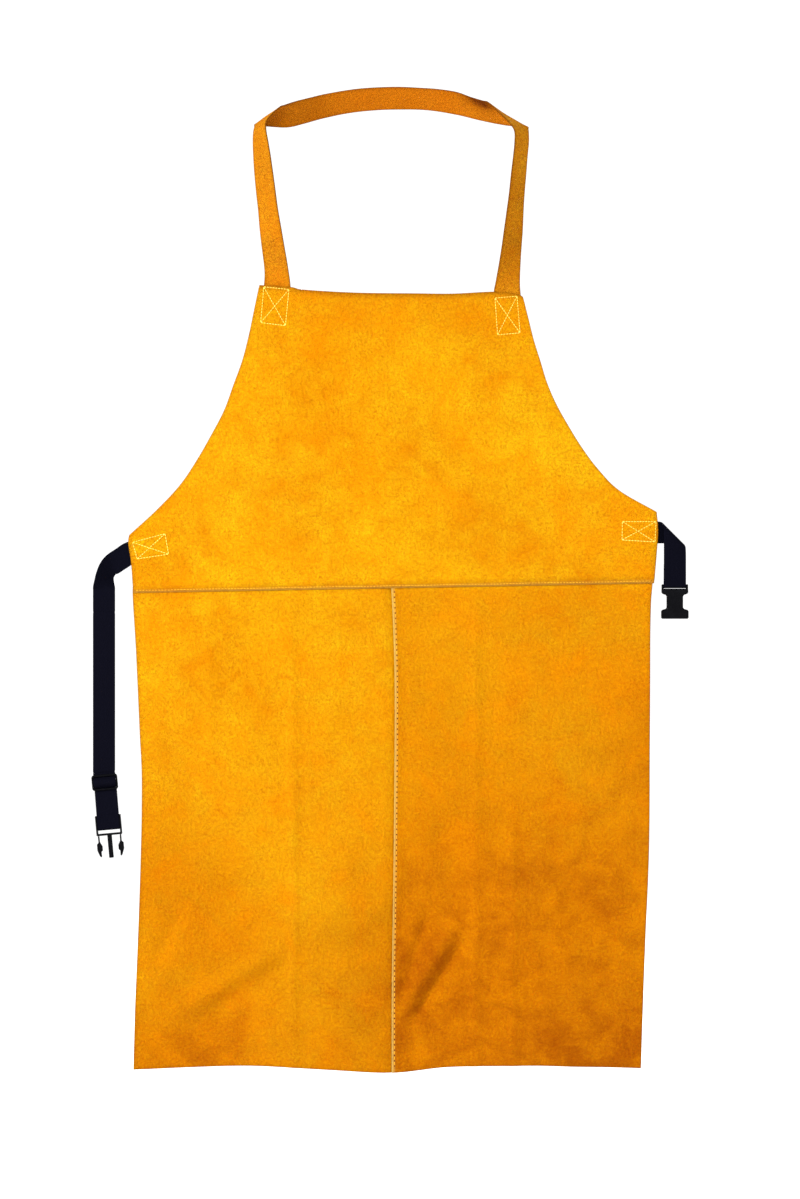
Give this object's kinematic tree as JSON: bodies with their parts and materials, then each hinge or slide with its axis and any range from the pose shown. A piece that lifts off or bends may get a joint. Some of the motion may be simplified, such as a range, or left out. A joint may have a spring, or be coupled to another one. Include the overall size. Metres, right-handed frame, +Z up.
{
  "type": "welding apron",
  "caption": "Split-leather welding apron with a neck strap sewn to its bib, a seamed two-panel skirt and waist webbing with a slide adjuster and a side-release buckle.",
  "frame": {"origin": "lower edge of the neck strap at the middle of the back, where the neck or a peg carries the apron", "axes": "+Z up as it hangs, -Y out of the apron's front, +X towards the wearer's left"},
  "size_m": [0.6803, 0.0956, 1.1306],
  "materials": {
    "leather": "golden yellow split leather with a short suede nap",
    "strap": "tan split leather, darker than the bib",
    "webbing": "black polypropylene webbing, close ribbed weave",
    "plastic": "black moulded plastic, satin",
    "thread": "pale yellow heat-resistant sewing thread"
  },
  "bodies": {
    "neck": {"neck_strap": "strap"},
    "bib": {"neck_strap_end_right": "strap", "neck_strap_end_left": "strap", "bib_panel": "leather", "neck_stitch_right_front": "thread", "neck_stitch_right_back": "thread", "neck_stitch_left_front": "thread", "neck_stitch_left_back": "thread", "waist_stitch_right_front": "thread", "waist_stitch_right_back": "thread", "waist_stitch_left_front": "thread", "waist_stitch_left_back": "thread", "waist_seam_front": "thread", "webbing_tail_right": "webbing", "webbing_tail_left": "webbing"},
    "skirt": {"skirt_panel_right": "leather", "skirt_panel_left": "leather", "waist_seam_back": "thread", "centre_seam_front": "thread", "centre_seam_back": "thread"},
    "right_strap": {"webbing_run_right": "webbing"},
    "webbing_loop": {"webbing_return_right": "webbing"},
    "adjuster": {"strap_adjuster": "plastic", "adjuster_loop_stitch": "thread"},
    "male_buckle": {"male_buckle": "plastic", "webbing_buckle_loop": "webbing"},
    "prong_right": {"prong_right": "plastic"},
    "prong_left": {"prong_left": "plastic"},
    "left_strap": {"webbing_run_left": "webbing", "buckle_loop_stitch": "thread"},
    "female_buckle": {"female_buckle": "plastic"}
  },
  "joints": [
    {"name": "bib_swing", "type": "hinge", "parent": "neck", "child": "bib", "pos_m": [0, -0.0833, -0.2178], "axis": [-0.9996, 0, 0.0294], "range_deg": [-15, 40]},
    {"name": "skirt_lift", "type": "hinge", "parent": "bib", "child": "skirt", "pos_m": [0, -0.084, -0.558], "axis": [-0.9998, 0, -0.0182], "range_deg": [0, 75]},
    {"name": "right_strap_swing", "type": "hinge", "parent": "bib", "child": "right_strap", "pos_m": [-0.3295, -0.0858, -0.566], "axis": [1, 0, 0], "range_deg": [-20, 80]},
    {"name": "strap_adjust", "type": "slide", "parent": "right_strap", "child": "webbing_loop", "axis": [0, 0, 1], "range_m": [0, 0.07], "deforming": ["webbing_run_right"]},
    {"name": "adjuster_slide", "type": "slide", "parent": "webbing_loop", "child": "adjuster", "axis": [0, 0, 1], "range_m": [0, 0.071], "deforming": ["webbing_return_right"]},
    {"name": "male_swing", "type": "hinge", "parent": "webbing_loop", "child": "male_buckle", "pos_m": [-0.32497, -0.088, -0.81814], "axis": [0.9959, 0, 0.0906], "range_deg": [-35, 35]},
    {"name": "prong_squeeze_left", "type": "hinge", "parent": "male_buckle", "child": "prong_left", "pos_m": [-0.31055, -0.088, -0.83862], "axis": [0, 1, 0], "range_deg": [0, 8], "stiffness_Nm_per_rad": 0.05},
    {"name": "prong_squeeze_right", "type": "hinge", "parent": "male_buckle", "child": "prong_right", "pos_m": [-0.33545, -0.088, -0.84088], "axis": [0, -1, 0], "range_deg": [0, 8], "stiffness_Nm_per_rad": 0.05},
    {"name": "left_strap_swing", "type": "hinge", "parent": "bib", "child": "left_strap", "pos_m": [0.321, -0.0924, -0.52], "axis": [1, 0, 0], "range_deg": [-20, 80]},
    {"name": "female_swing", "type": "hinge", "parent": "left_strap", "child": "female_buckle", "pos_m": [0.321, -0.09, -0.5552], "axis": [1, 0, 0], "range_deg": [-35, 35]}
  ],
  "couplings": [
    {"joint": "adjuster_slide", "follows": "strap_adjust", "ratio": 1},
    {"joint": "prong_squeeze_right", "follows": "prong_squeeze_left", "ratio": 1}
  ]
}
